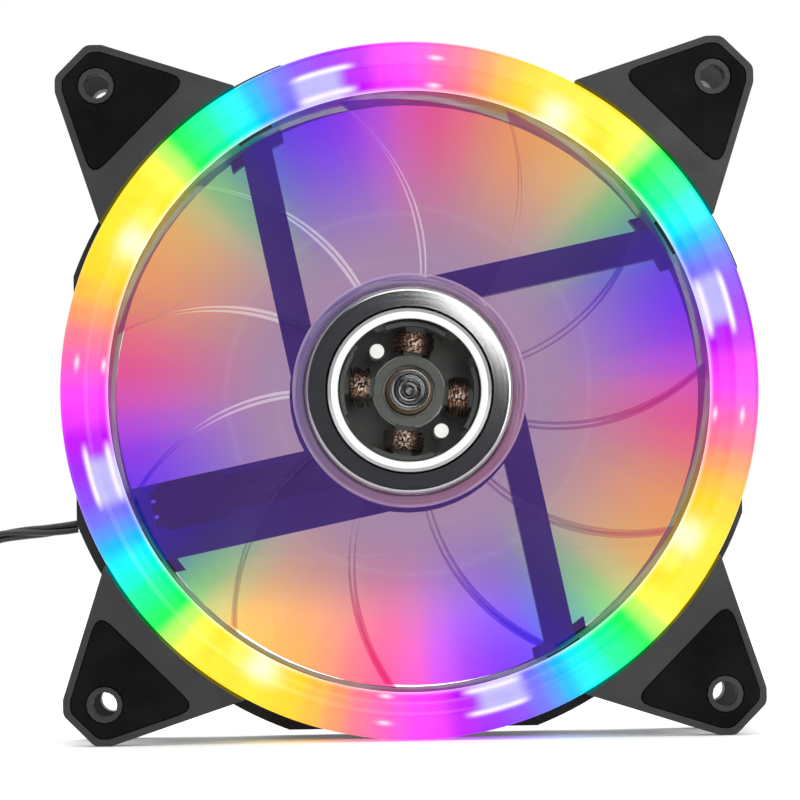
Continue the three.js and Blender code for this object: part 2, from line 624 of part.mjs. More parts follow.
// Band round the coil
function cableTie() {
  const band = rectangle(COIL_INNER - 0.7, 0, COIL_OUTER + 0.7, COIL_TOP + 0.7, 0.5);
  const inside = rectangle(COIL_INNER - GAP, COIL_BOTTOM - GAP, COIL_OUTER + GAP, COIL_TOP + GAP, 0.2);
  return cut(plate(band, -1.3, 1.3, 2), [plate(inside, -2, 2, 2)]);
}
add(coilPlace, 'cable_tie', cableTie(), LOOKS.blackPlastic).rotation.z = 240 * RADIANS;

// ---- Connector ------------------------------------------------------------------------------------------
// Three ways, with guide ribs, lying on the surface beside the coil. It is drawn pointing to -Y at the
// coil's side, and then turned with its tail to point to -X.
const PLUG_LENGTH = 13.5;
const PLUG_PITCH = 2.54;
const PLUG_X = -14.5;            // from the coil's centre
const PLUG_Y = -13.3;

const tailPlace = new THREE.Group();
tailPlace.rotation.z = -Math.PI / 2;
coilPlace.add(tailPlace);

const tailRoute = [
  [PLUG_X, PLUG_Y + 3.8, 3.4],
  [PLUG_X, PLUG_Y + 2.1, 3.1],
  [PLUG_X, PLUG_Y + 0.3, 2.9],
];
add(tailPlace, 'cable_tail', alongPath(tailRoute, CABLE_RADIUS, 3, 8), LOOKS.wire);

const plugPlace = new THREE.Group();
plugPlace.position.set(PLUG_X, PLUG_Y, 0);
tailPlace.add(plugPlace);

function connectorHousing() {
  const body = bar(-3.85, 3.85, 0, 4.9, -PLUG_LENGTH, 0);
  const ribs = [-2.2, 2.2].map((x) => bar(x - 0.45, x + 0.45, 4.5, 5.9, -PLUG_LENGTH, -3));
  const cavity = (x) => bar(x - 0.95, x + 0.95, 1.9, 3.9, -PLUG_LENGTH - 1, -2);
  return cut(joined([body, ...ribs]), [-PLUG_PITCH, 0, PLUG_PITCH].map(cavity));
}
add(plugPlace, 'connector_housing', connectorHousing(), LOOKS.blackPlastic);

numbered('terminal', 3).forEach((name, i) => {
  const terminal = bar(-0.65, 0.65, 2.2, 3.6, 1 - PLUG_LENGTH, -3);
  add(plugPlace, name, terminal, LOOKS.tinned).position.x = (i - 1) * PLUG_PITCH;
});

export default group;
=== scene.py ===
"""Looks for a 120 mm class case fan with a lit ring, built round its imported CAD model.

Metres, +Z up, the lit front faces -Y. Angles are counter-clockwise from +X as seen from the front.
"""
import json
import math
import random

import bmesh
import bpy
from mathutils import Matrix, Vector


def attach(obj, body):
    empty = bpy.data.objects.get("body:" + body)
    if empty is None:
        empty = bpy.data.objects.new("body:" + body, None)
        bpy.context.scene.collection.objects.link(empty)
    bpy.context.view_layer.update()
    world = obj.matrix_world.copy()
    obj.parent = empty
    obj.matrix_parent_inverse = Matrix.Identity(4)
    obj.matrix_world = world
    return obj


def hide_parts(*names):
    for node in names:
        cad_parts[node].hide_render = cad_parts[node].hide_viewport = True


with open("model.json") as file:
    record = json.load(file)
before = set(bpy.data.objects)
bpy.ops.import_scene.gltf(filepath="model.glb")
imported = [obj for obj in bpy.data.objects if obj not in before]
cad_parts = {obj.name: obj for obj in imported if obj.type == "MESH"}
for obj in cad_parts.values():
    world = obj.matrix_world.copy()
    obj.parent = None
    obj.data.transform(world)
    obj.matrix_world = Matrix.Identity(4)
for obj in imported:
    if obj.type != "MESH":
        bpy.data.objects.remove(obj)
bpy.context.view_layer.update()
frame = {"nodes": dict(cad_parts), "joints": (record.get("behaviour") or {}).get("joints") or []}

MM = 0.001
AXIS_HEIGHT = frame["joints"][0]["pos_m"][2]
QUARTER = 90.0
HOUSING = "housing"
ROTOR = "rotor"

# ---- Sizes that follow the CAD, in millimetres ---------------------------------------------------
BORE = 51.5
RING_OUTER = 59.3
RING_FRONT = -12.5
RING_LIP = -7.2
RING_REAR = -3.9
RING_CROWN = 55.6
RING_WALL = 1.5
RING_SHOULDER = 0.7
RING_STEPS = 720
HUB = 20.0
HUB_FRONT = -10.5
HUB_REAR = 7.2
TURNED_STEPS = 256        # sides of the hub and the steel cup
BLADE_COUNT = 11
BLADE_ROOT = 19.9
CAD_ROOT = 19.2           # the CAD blades start this far out, inside the hub's wall
BLADE_TIP = 50.8
BLADE_SPAN = 35.0
BLADE_LEAN = 20.0
BLADE_FRONT = -8.4
BLADE_REAR = 5.4
YOKE = 17.9
YOKE_FRONT = -8.75
YOKE_REAR = 6.6
LIP_OUTER = 13.62
LIP_REAR = -7.9

# ---- Limits in degrees ---------------------------------------------------------------------------
FLAT_LIMIT = 0.4          # CAD triangles that meet at less than this are one face
EDGE_LIMIT = 25           # faces that meet at more than this have a rounded edge

# ---- Camera: a 150 mm lens a little below the axis and left of it --------------------------------
CAMERA_PLACE = (-0.0105, -0.5769, 0.0348)
CAMERA_TURN = (92.32, 1.005, -0.85)
CAMERA_LENS = 150
SENSOR = 36


# ---- Small helpers -------------------------------------------------------------------------------
def at(radius, degrees, y):
    """A point round the fan's axis, from millimetres to metres."""
    angle = math.radians(degrees)
    return Vector((radius * math.cos(angle) * MM, y * MM, AXIS_HEIGHT + radius * math.sin(angle) * MM))


def polar(point):
    """Radius in millimetres and angle in degrees of a point in metres, seen from the front."""
    x, z = point.x / MM, (point.z - AXIS_HEIGHT) / MM
    return math.hypot(x, z), math.degrees(math.atan2(z, x)) % 360


def linear(code):
    """An sRGB hex colour as linear values."""
    parts = [int(code[i:i + 2], 16) / 255 for i in (0, 2, 4)]
    return Vector([p / 12.92 if p <= 0.04045 else ((p + 0.055) / 1.055) ** 2.4 for p in parts])


def smooth(low, high, value):
    """0 below low, 1 above high, and a soft step between."""
    t = min(max((value - low) / (high - low), 0), 1)
    return t * t * (3 - 2 * t)


def between_edges(low, full, ending, high, value):
    """0 below low and above high, 1 from full to ending, and soft steps between."""
    return smooth(low, full, value) * (1 - smooth(ending, high, value))


def bump_of(value, centre, width):
    """A soft bump: 1 at the centre, and nearly 0 past twice the width."""
    return math.exp(-((value - centre) / width) ** 2)


def add_object(name, mesh, body, material, replaced=()):
    """Links a new piece, hangs it on what it rides on, and hides the nodes it stands for."""
    piece = bpy.data.objects.new(name, mesh)
    bpy.context.scene.collection.objects.link(piece)
    if material is not None:
        mesh.materials.clear()
        mesh.materials.append(material)
    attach(piece, body)
    if replaced:
        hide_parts(*replaced)
    return piece


def mesh_of(build, sharp=35):
    """Turns a bmesh into a mesh with smooth faces and sharp edges past an angle."""
    bmesh.ops.recalc_face_normals(build, faces=build.faces)
    mesh = bpy.data.meshes.new("shape")
    build.to_mesh(mesh)
    build.free()
    mesh.shade_smooth()
    mesh.set_sharp_from_angle(angle=math.radians(sharp))
    return mesh


def skin(build, rings, closed=False):
    """Joins rings of corners with faces. The last ring meets the first if closed, or both get a cap."""
    followers = rings[1:] + rings[:1] if closed else rings[1:]
    for near, far in zip(rings, followers):
        for k, corner in enumerate(near):
            m = (k + 1) % len(near)
            build.faces.new((corner, near[m], far[m], far[k]))
    if not closed:
        build.faces.new(rings[0])
        build.faces.new(rings[-1])


def revolve(build, profile, segments):
    """Adds a closed (radius, y) outline turned about the axis."""
    rings = []
    for i in range(segments):
        angle = 360 * i / segments
        rings.append([build.verts.new(at(radius, angle, y)) for radius, y in profile])
    skin(build, rings, closed=True)
    bmesh.ops.remove_doubles(build, verts=build.verts, dist=1e-7)


def rounded(corners, steps=4):
    """An outline whose (radius, y, rounding) corners are turned into arcs."""
    points = []
    for i, (x, y, rounding) in enumerate(corners):
        corner = Vector((x, y))
        if rounding == 0:
            points.append((x, y))
            continue
        before = (Vector(corners[i - 1][:2]) - corner).normalized()
        after = (Vector(corners[(i + 1) % len(corners)][:2]) - corner).normalized()
        half = before.angle(after) / 2
        reach = rounding / math.tan(half)
        start, end = corner + before * reach, corner + after * reach
        centre = corner + (before + after).normalized() * rounding / math.sin(half)
        for step in range(steps + 1):
            spot = start.lerp(end, step / steps) - centre
            points.append(tuple(centre + spot.normalized() * rounding))
    return points


def arc(x, y, radius, start, end, steps):
    """Points of an arc in the (radius, y) plane."""
    angles = [math.radians(start + (end - start) * i / steps) for i in range(steps + 1)]
    return [(x + radius * math.cos(a), y + radius * math.sin(a)) for a in angles]


def lathe(name, profile, segments, body, material, replaced=(), sharp=35):
    """A piece turned about the fan's axis from a closed outline."""
    build = bmesh.new()
    revolve(build, profile, segments)
    return add_object(name, mesh_of(build, sharp), body, material, replaced)


def refined(node, width, material, segments=2, body=HOUSING):
    """The CAD piece with its flat triangles merged and its edges rounded by width millimetres."""
    build = bmesh.new()
    build.from_mesh(frame["nodes"][node].data)
    bmesh.ops.remove_doubles(build, verts=build.verts, dist=2e-6)
    flat = math.radians(FLAT_LIMIT)
    bmesh.ops.dissolve_limit(build, angle_limit=flat, verts=build.verts, edges=build.edges)
    piece = add_object(node + "_fine", mesh_of(build, EDGE_LIMIT), body, material, (node,))
    bevel = piece.modifiers.new("edges", "BEVEL")
    bevel.width = width * MM
    bevel.segments = segments
    bevel.limit_method = "ANGLE"
    bevel.angle_limit = math.radians(EDGE_LIMIT)
    bevel.harden_normals = True
    return piece


# ---- Materials -----------------------------------------------------------------------------------
EVEN = (1, 1, 1)
LAYERED = (0.05, 1, 0.05)    # stretches noise into layers stacked along the axis
TURNING = 0.16               # spacing of the marks on turned metal, in millimetres


def surface(name, colour, roughness, metallic=0.0, **sockets):
    """A Principled material. Further sockets are given by name, with _ for a space."""
    material = bpy.data.materials.new(name)
    material.use_nodes = True
    shader = material.node_tree.nodes["Principled BSDF"]
    shader.inputs["Base Color"].default_value = (*colour, 1)
    shader.inputs["Roughness"].default_value = roughness
    shader.inputs["Metallic"].default_value = metallic
    for socket, value in sockets.items():
        shader.inputs[socket.replace("_", " ")].default_value = value
    return material


def parts_of(material):
    """A material's node tree and its Principled shader."""
    tree = material.node_tree
    return tree, tree.nodes["Principled BSDF"]


def node_of(tree, kind, **inputs):
    """A new node. Its sockets' values are given by name, with _ for a space."""
    made = tree.nodes.new(kind)
    for socket, value in inputs.items():
        made.inputs[socket.replace("_", " ")].default_value = value
    return made


def noise_of(tree, size, detail, stretch=EVEN):
    """Noise in the object's own space, with features about size millimetres across."""
    place = tree.nodes.new("ShaderNodeTexCoord")
    scale = node_of(tree, "ShaderNodeMapping", Scale=stretch)
    made = node_of(tree, "ShaderNodeTexNoise", Scale=1 / (size * MM), Detail=detail)
    tree.links.new(place.outputs["Object"], scale.inputs["Vector"])
    tree.links.new(scale.outputs["Vector"], made.inputs["Vector"])
    return made


def between(tree, source, low, high, from_low=0.3, from_high=0.7):
    """Maps a noise to a range."""
    made = node_of(tree, "ShaderNodeMapRange")
    made.inputs["From Min"].default_value = from_low
    made.inputs["From Max"].default_value = from_high
    made.inputs["To Min"].default_value = low
    made.inputs["To Max"].default_value = high
    tree.links.new(source, made.inputs["Value"])
    return made.outputs["Result"]


def colour_between(material, source, low, high, edge):
    """Base colour that a noise takes from low to high, flat for the share edge at either end of it."""
    tree, shader = parts_of(material)
    ramp = tree.nodes.new("ShaderNodeValToRGB")
    first, last = ramp.color_ramp.elements
    first.position = edge
    first.color = (*low, 1)
    last.position = 1 - edge
    last.color = (*high, 1)
    tree.links.new(source, ramp.inputs["Fac"])
    tree.links.new(ramp.outputs["Color"], shader.inputs["Base Color"])


def bump_from(material, source, depth):
    """Bump that a noise drives, depth millimetres deep."""
    tree, shader = parts_of(material)
    lumps = node_of(tree, "ShaderNodeBump", Strength=1.0, Distance=depth * MM)
    tree.links.new(source, lumps.inputs["Height"])
    tree.links.new(lumps.outputs["Normal"], shader.inputs["Normal"])


def vary_colour(material, size, low, high, stretch=EVEN):
    """Base colour that wanders between two linear colours."""
    pattern = noise_of(material.node_tree, size, 4.0, stretch)
    colour_between(material, pattern.outputs["Fac"], low, high, 0.35)


def vary_roughness(material, size, low, high):
    """Roughness that wanders between two values."""
    tree, shader = parts_of(material)
    pattern = noise_of(tree, size, 5.0)
    tree.links.new(between(tree, pattern.outputs["Fac"], low, high), shader.inputs["Roughness"])


def grain(material, size, depth, stretch=EVEN):
    """Bump of the given size and depth in millimetres."""
    pattern = noise_of(material.node_tree, size, 3.0, stretch)
    bump_from(material, pattern.outputs["Fac"], depth)


def scaled(tree, colour, scale):
    """A colour times a number, which is a value or another node's output."""
    made = node_of(tree, "ShaderNodeVectorMath")
    made.operation = "SCALE"
    tree.links.new(colour, made.inputs[0])
    if isinstance(scale, float):
        made.inputs["Scale"].default_value = scale
    else:
        tree.links.new(scale, made.inputs["Scale"])
    return made.outputs["Vector"]


def moulded(name, low, high, roughness, size=0.22, depth=0.012, **sockets):
    """Moulded plastic or rubber: a fine texture, uneven gloss and a slight drift of colour."""
    material = surface(name, low, roughness, **sockets)
    vary_colour(material, 9, low, high)
    vary_roughness(material, 3.5, roughness - 0.08, roughness + 0.08)
    grain(material, size, depth)
    return material


def turned_metal(name, low, high, roughness, depth=0.002):
    """Metal with faint marks that run round the axis: noise that depends on radius and y alone."""
    material = surface(name, low, roughness, 1.0)
    tree, shader = parts_of(material)
    place = tree.nodes.new("ShaderNodeTexCoord")
    centre = node_of(tree, "ShaderNodeVectorMath")
    centre.operation = "SUBTRACT"
    centre.inputs[1].default_value = (0, 0, AXIS_HEIGHT)
    flat = node_of(tree, "ShaderNodeVectorMath")
    flat.operation = "MULTIPLY"
    flat.inputs[1].default_value = (1, 0, 1)
    length = node_of(tree, "ShaderNodeVectorMath")
    length.operation = "LENGTH"
    split = tree.nodes.new("ShaderNodeSeparateXYZ")
    join = tree.nodes.new("ShaderNodeCombineXYZ")
    marks = node_of(tree, "ShaderNodeTexNoise", Scale=1 / (TURNING * MM), Detail=2.0)
    tree.links.new(place.outputs["Object"], centre.inputs[0])
    tree.links.new(centre.outputs["Vector"], flat.inputs[0])
    tree.links.new(flat.outputs["Vector"], length.inputs[0])
    tree.links.new(place.outputs["Object"], split.inputs["Vector"])
    tree.links.new(length.outputs["Value"], join.inputs["X"])
    tree.links.new(split.outputs["Y"], join.inputs["Y"])
    tree.links.new(join.outputs["Vector"], marks.inputs["Vector"])
    bump_from(material, marks.outputs["Fac"], depth)
    spread = between(tree, marks.outputs["Fac"], roughness * 0.8, roughness * 1.3)
    tree.links.new(spread, shader.inputs["Roughness"])
    colour_between(material, marks.outputs["Fac"], low, high, 0.3)
    return material


GREY = Vector((1, 1, 1))
charcoal = moulded("charcoal_plastic", GREY * 0.016, GREY * 0.023, 0.5, Specular_IOR_Level=0.3)
pad_rubber = moulded("pad_rubber", GREY * 0.002, GREY * 0.005, 0.85, size=0.5, depth=0.05,
                     Specular_IOR_Level=0.08)
black_plastic = moulded("black_plastic", GREY * 0.010, GREY * 0.016, 0.45, Specular_IOR_Level=0.4)
connector_plastic = moulded("connector_plastic", GREY * 0.009, GREY * 0.014, 0.4)
jacket = moulded("wire_jacket", GREY * 0.008, GREY * 0.014, 0.4, size=0.9, depth=0.02)
insulator_plastic = moulded("insulator_plastic", linear("3c403a"), linear("4a4e46"), 0.45)
white_plastic = moulded("white_plastic", linear("e6e6e0"), linear("f4f4ee"), 0.45)
board_white = moulded("board_white", linear("dcdcd6"), linear("ececE6"), 0.4, size=0.12, depth=0.004)
board_olive = moulded("board_olive", linear("45483e"), linear("55564a"), 0.35, size=0.12, depth=0.004)
seal_rubber = moulded("seal_rubber", GREY * 0.006, GREY * 0.010, 0.7)
magnet_material = moulded("magnet_material", GREY * 0.02, GREY * 0.035, 0.6, size=0.1, depth=0.01)
yoke_steel = turned_metal("yoke_steel", GREY * 0.46, GREY * 0.54, 0.06, depth=0.0003)
shaft_steel = turned_metal("shaft_steel", GREY * 0.10, GREY * 0.20, 0.10, depth=0.0004)
spring_steel = turned_metal("spring_steel", GREY * 0.03, GREY * 0.05, 0.35)
brass = turned_metal("brass", linear("5c4b2c"), linear("735e38"), 0.35)
bronze = turned_metal("bronze", linear("7a5d35"), linear("94744a"), 0.45)
label_foil = turned_metal("label_foil", linear("a8abb0"), linear("c6c9cd"), 0.34, depth=0.001)
# The copper's emission carries painted highlights, set in make_glints
copper = surface("copper", linear("6a3a1e"), 0.24, 1.0, Emission_Strength=1.0)
vary_colour(copper, 1.1, linear("4a2816"), linear("8c5a3a"))
laminations = surface("laminations", GREY * 0.3, 0.4, 1.0)
grain(laminations, 0.5, 0.05, LAYERED)
vary_colour(laminations, 0.7, GREY * 0.18, GREY * 0.34, LAYERED)
tinned = surface("tinned", linear("cfcabb"), 0.28, 1.0)
vary_roughness(tinned, 0.8, 0.2, 0.4)


# ---- Camera --------------------------------------------------------------------------------------
def make_camera():
    """The camera that frames the fan from in front."""
    data = bpy.data.cameras.new("camera")
    data.lens = CAMERA_LENS
    data.sensor_width = SENSOR
    data.clip_end = 20
    camera = bpy.data.objects.new("camera", data)
    bpy.context.scene.collection.objects.link(camera)
    camera.location = CAMERA_PLACE
    camera.rotation_euler = [math.radians(a) for a in CAMERA_TURN]
    bpy.context.scene.camera = camera


make_camera()

# ---- Cord ----------------------------------------------------------------------------------------
# Three black wires in one bundle: out of the frame, down to the floor, into a coil and a connector.
ROUTE = [
    (-58.4, 10.2, 37.3), (-60.6, 10.2, 36.9), (-64, 10.2, 36.5), (-68, 10.3, 36.3), (-72, 10.4, 35.8),
    (-75.5, 10.6, 34.4), (-78.3, 10.9, 31.9), (-80, 11.1, 28.4), (-80.8, 11.2, 24), (-81.1, 11.2, 19),
    (-81.5, 11.2, 14), (-82.5, 11.2, 9.4), (-84.6, 11.2, 5.2), (-87.8, 11.2, 2.6), (-91.5, 11.2, 1.6),
    (-96.5, 11.2, 1.3),
]
TAIL = [(-107, 11.2, 3.6), (-111.5, 11.2, 3.35), (-113.6, 11.2, 3.1), (-115.4, 11.2, 2.9)]
COIL_PLACE = (-102.3, -3.3)
COIL_WIDE = 14.5
COIL_NARROW = 9.7
COIL_START = 90
COIL_LOW = 1.25
COIL_HIGH = 3.7
LAYER_TURN = 720          # degrees in each of the two layers
RISE_TURN = 60            # degrees over which the cord climbs to the second layer
COIL_STEP = 15
TIE_ANGLE = 240
TIE_LIFT = 0.45           # how far the cord rises over the strap
TIE_REACH = 22            # degrees to each side over which it rises
TIE_WIDTH = 2.4
TIE_THICKNESS = 0.38
TIE_BEVEL = 0.1
WIRE_RADIUS = 0.55
WIRE_OFFSET = 0.64
WIRE_TWIST = 7.0          # degrees of twist for each millimetre
PLUG_PITCH = 2.54
PLUG_SHARE = 0.62         # the share of that pitch to which the wires part
PLUG_SPREAD = 4.0         # the wires part over this last length
STRUT_ANGLE = 11.5
LEAD_ROUTE = [            # along the cable strut, across it, and y
    (14.1, 9.4, 9.5), (20, 9.8, 9.5), (28, 10.1, 9.5), (38, 10.1, 9.5), (48, 10.1, 9.9),
    (55, 10.1, 10.2), (61.5, 10.1, 10.2),
]


def coil_points():
    """The two layers of the coil: inwards on the floor, then outwards on top."""
    points = []
    for turn in range(0, 2 * LAYER_TURN + 1, COIL_STEP):
        inwards = min(turn, LAYER_TURN) / LAYER_TURN
        outwards = max(turn - LAYER_TURN, 0) / LAYER_TURN
        radius = COIL_WIDE + (COIL_NARROW - COIL_WIDE) * (inwards - outwards)
        height = COIL_LOW + (COIL_HIGH - COIL_LOW) * smooth(0, RISE_TURN, turn - LAYER_TURN)
        away = abs((turn + COIL_START - TIE_ANGLE + 180) % 360 - 180)
        height += TIE_LIFT * bump_of(away, 0, TIE_REACH)
        angle = math.radians(turn + COIL_START)
        x = COIL_PLACE[0] + radius * math.cos(angle)
        y = COIL_PLACE[1] + radius * math.sin(angle)
        points.append((x, y, height))
    return points


def dense(points, step=0.7):
    """A smooth curve through points, in metres, with a point about every step millimetres."""
    knots = [Vector(p) * MM for p in points]
    knots = [knots[0] * 2 - knots[1], *knots, knots[-1] * 2 - knots[-2]]
    made = []
    for a, b, c, d in zip(knots, knots[1:], knots[2:], knots[3:]):
        count = max(2, round((c - b).length / (step * MM)))
        for i in range(count):
            t = i / count
            made.append(0.5 * (2 * b + (c - a) * t + (2 * a - 5 * b + 4 * c - d) * t * t
                               + (3 * b - a - 3 * c + d) * t * t * t))
    made.append(knots[-2])
    return made


def length_of(path):
    """Length along a path's points."""
    return sum((b - a).length for a, b in zip(path, path[1:]))


def frames_along(path):
    """Two directions across the path at each point, carried along it without sudden turns."""
    across = Vector((0, 0, 1))
    made = []
    for i, point in enumerate(path):
        forward = (path[min(i + 1, len(path) - 1)] - path[max(i - 1, 0)]).normalized()
        across = (across - forward * across.dot(forward)).normalized()
        made.append((point, across.copy(), forward.cross(across)))
    return made


def wire(build, centres, radius, sides=10):
    """Adds a closed tube along centres."""
    rings = []
    for point, up, side in frames_along(centres):
        ring = []
        for k in range(sides):
            angle = 2 * math.pi * k / sides
            away = up * math.cos(angle) + side * math.sin(angle)
            ring.append(build.verts.new(point + away * radius))
        rings.append(ring)
    skin(build, rings)


def bundle(build, path, spread=None):
    """Adds three wires twisted round a path. spread gives each wire's sideways place at the far end."""
    places = frames_along(path)
    total = length_of(path)
    for k in range(3):
        centres = []
        run = 0.0
        for i, (point, up, side) in enumerate(places):
            if i:
                run += (point - path[i - 1]).length
            angle = math.radians(120 * k + 90 + WIRE_TWIST * run / MM)
            twisted = point + (up * math.cos(angle) + side * math.sin(angle)) * WIRE_OFFSET * MM
            if spread is not None:
                part = smooth(total - PLUG_SPREAD * MM, total - 0.5 * MM, run)
                apart = point + Vector((0, (k - 1) * spread * MM, 0))
                twisted = twisted.lerp(apart, part)
            centres.append(twisted)
        wire(build, centres, WIRE_RADIUS * MM)


def make_cord():
    """The fan's lead from the frame to the connector. Returns the piece and its centre line."""
    path = dense(ROUTE + coil_points() + TAIL)
    build = bmesh.new()
    bundle(build, path, PLUG_PITCH * PLUG_SHARE)
    nodes = ("cable", "cable_coil", "cable_tail")
    cord = add_object("cord", mesh_of(build), HOUSING, jacket, nodes)
    return cord, path


def make_motor_lead():
    """The same three wires in the strut's channel, along the CAD lead's middle line."""
    build = bmesh.new()
    bundle(build, dense([inside_strut(*p) for p in LEAD_ROUTE]))
    add_object("motor_wires", mesh_of(build), HOUSING, jacket, ("motor_lead",))


def inside_strut(along, offset, y):
    """A place on the cable strut: along its line, its offset from the axis, and y, in millimetres."""
    angle = math.radians(STRUT_ANGLE + 180)
    x = along * math.cos(angle) - offset * math.sin(angle)
    z = along * math.sin(angle) + offset * math.cos(angle)
    return x, y, z + AXIS_HEIGHT / MM


# ---- The ring's light ----------------------------------------------------------------------------
# Colours round a quarter of the ring; the other quarters repeat it.
RING_HUES = [
    (0, "fb42ee"), (4, "e836ff"), (8, "bc12f6"), (13, "9a28f3"), (18, "8648f8"),
    (22, "7070fa"), (24.5, "5490fa"), (27, "14b6f8"), (30, "04e8f4"), (33.5, "06f6d2"),
    (36.5, "08fa98"), (42, "12fa58"), (45, "b4fa60"), (48, "fbf24a"), (52, "fce22e"),
    (62, "fade2c"), (68, "fcd028"), (72, "fdb944"), (76, "fd9866"), (80, "fc7690"),
    (84, "fb62b2"), (87, "fb52d4"), (90, "fb42ee"),
]
# The same light, painted into the blades near their tips
TIP_HUES = [
    (0, "d857b5"), (6, "b54cdd"), (12, "8d3ce8"), (18, "763cec"), (24, "6b46e1"),
    (30, "5866d2"), (36, "66a098"), (42, "82bb81"), (48, "c7bc80"), (54, "e3ac6c"),
    (66, "e89a67"), (72, "e18a73"), (78, "e56c86"), (84, "e25894"), (90, "d857b5"),
]
# Painted light of the ring in the blades near the hub
HUB_PAINTED_LIGHT = linear("a487a8")
# Marks in the ring: the LEDs' bar and two spikes, and painted highlights: streaks along the bar, glints
# and a bright line at the lip's edge
BAR_COLOUR = linear("b8b8fe")
STREAK_HIGHLIGHT_COLOUR = linear("f4ecff")
SPIKE_COLOUR = linear("fffcc8")
SECOND_COLOUR = linear("ffff70")
GLINT_COLOUR = linear("ffe6f4")
EDGE_HIGHLIGHT_COLOUR = linear("ffffff")
GLOW_START = 22           # radius where the blades' painted light starts to take the ring's hues
GLOW_REACH = 30           # and how far out from there it has taken them whole
# Painted highlights: faint bright circles in the blades' painted light
HIGHLIGHT_CIRCLES = (23.2, 31.5)
HIGHLIGHT_CIRCLE_COLOUR = linear("e8dff0")
TAB_HALF = 3.0            # half the width of the ring's tabs
TABS = [                  # inner radius, thickness, front and rear of each part of a tab
    (57.95, 1.2, RING_REAR - 0.6, -1.2),
    (57.0, 1.3, -1.9, -1.2),
]


def hue_at(stops, degrees):
    """The colour at an angle, from stops that cover a quarter turn."""
    angle = degrees % QUARTER
    for (low, first), (high, second) in zip(stops, stops[1:]):
        if angle <= high:
            return linear(first).lerp(linear(second), smooth(0, 1, (angle - low) / (high - low)))
    return linear(stops[-1][1])


def ring_light(radius, degrees):
    """What the ring gives off at a place: its hue, the brighter marks of the LEDs behind it, and
    painted highlights.
    """
    angle = degrees % QUARTER
    colour = hue_at(RING_HUES, angle)
    bar = between_edges(10, 13, 18.5, 21.5, angle) * (1 - smooth(55.6, 56.6, radius))
    # Painted highlights: two streaks along the bar, two glints and a bright line at the lip's edge
    highlight_streaks = bump_of(radius, 52.3, 0.45) + bump_of(radius, 56.0, 0.4)
    spike = bump_of(angle, 61, 3.2) * (1 - smooth(53.5, 57.2, radius))
    second = bump_of(angle, 55.5, 1.6) * (1 - smooth(52.5, 55.5, radius))
    glints = bump_of(radius, 52.2, 0.3) + bump_of(radius, 56.6, 0.32)
    marks = [
        (BAR_COLOUR, 0.85 * bar),
        (STREAK_HIGHLIGHT_COLOUR, min(1, highlight_streaks) * between_edges(8, 11, 18, 21, angle)),
        (SPIKE_COLOUR, spike),
        (SECOND_COLOUR, 0.6 * second),
        (GLINT_COLOUR, min(1, glints) * bump_of(angle, 84.5, 1.1)),
        (EDGE_HIGHLIGHT_COLOUR, 0.35 * bump_of(radius, BORE, 0.28)),
    ]
    for mark, share in marks:
        colour = colour.lerp(mark, share)
    return colour


def blade_light(radius, degrees):
    """The ring's light painted in the blades: grey-mauve near the hub, the ring's own hue near the
    tips.
    """
    share = smooth(0, 1, max(0, (radius - GLOW_START) / GLOW_REACH) ** 0.9)
    colour = HUB_PAINTED_LIGHT.lerp(hue_at(TIP_HUES, degrees), share)
    # faint painted highlights along two circles
    for circle in HIGHLIGHT_CIRCLES:
        colour = colour.lerp(HIGHLIGHT_CIRCLE_COLOUR, 0.045 * bump_of(radius, circle, 0.25))
    return colour


def paint(mesh, name, colour_at):
    """Stores a colour for each vertex, worked out from its place."""
    layer = mesh.color_attributes.new(name, "FLOAT_COLOR", "POINT")
    for vertex, target in zip(mesh.vertices, layer.data):
        target.color = (*colour_at(vertex.co), 1)


def read_paint(tree, name):
    """The output of a node that reads a painted layer."""
    made = tree.nodes.new("ShaderNodeVertexColor")
    made.layer_name = name
    return made.outputs["Color"]


def make_ring_material():
    """Frosted plastic, lit from behind."""
    material = surface("lit_diffuser", GREY * 0.02, 0.2, Specular_IOR_Level=0.25,
                       Emission_Strength=1.0)
    tree, shader = parts_of(material)
    glow = read_paint(tree, "glow")
    cloud = between(tree, noise_of(tree, 2.4, 3.0).outputs["Fac"], 0.94, 1.04)
    tree.links.new(scaled(tree, glow, cloud), shader.inputs["Emission Color"])
    tree.links.new(scaled(tree, glow, 0.12), shader.inputs["Base Color"])
    grain(material, 0.6, 0.006)
    return material


def inlet(inset, count):
    """The ring's inlet curve, from its lip up to its crown."""
    wide = RING_CROWN - BORE - inset
    deep = RING_LIP - RING_FRONT - inset
    angles = [math.radians(90 * i / count) for i in range(count + 1)]
    return [(RING_CROWN - wide * math.cos(a), RING_LIP - deep * math.sin(a)) for a in angles]


def make_light_ring():
    """The diffuser: a thin wall with an inlet curve, and four two-step tabs behind it."""
    wall = RING_OUTER - RING_WALL
    crown = [(RING_CROWN + 0.3 * i, RING_FRONT) for i in range(1, 9)]
    shoulder = arc(RING_OUTER - RING_SHOULDER, RING_FRONT + RING_SHOULDER, RING_SHOULDER, -90, 0, 5)
    profile = [
        (RING_OUTER, RING_REAR), (wall, RING_REAR), (wall, RING_FRONT + RING_WALL),
        *reversed(inlet(RING_WALL, 8)), *inlet(0, 26), *crown, *shoulder,
    ]
    build = bmesh.new()
    revolve(build, profile, RING_STEPS)
    for quarter in range(4):
        for inner, thickness, front, rear in TABS:
            add_block(build, QUARTER * quarter, inner, inner + thickness, TAB_HALF, front, rear)
    mesh = mesh_of(build)
    paint(mesh, "glow", lambda co: ring_light(*polar(co)))
    add_object("light_ring_lit", mesh, HOUSING, make_ring_material(), ("light_ring",))


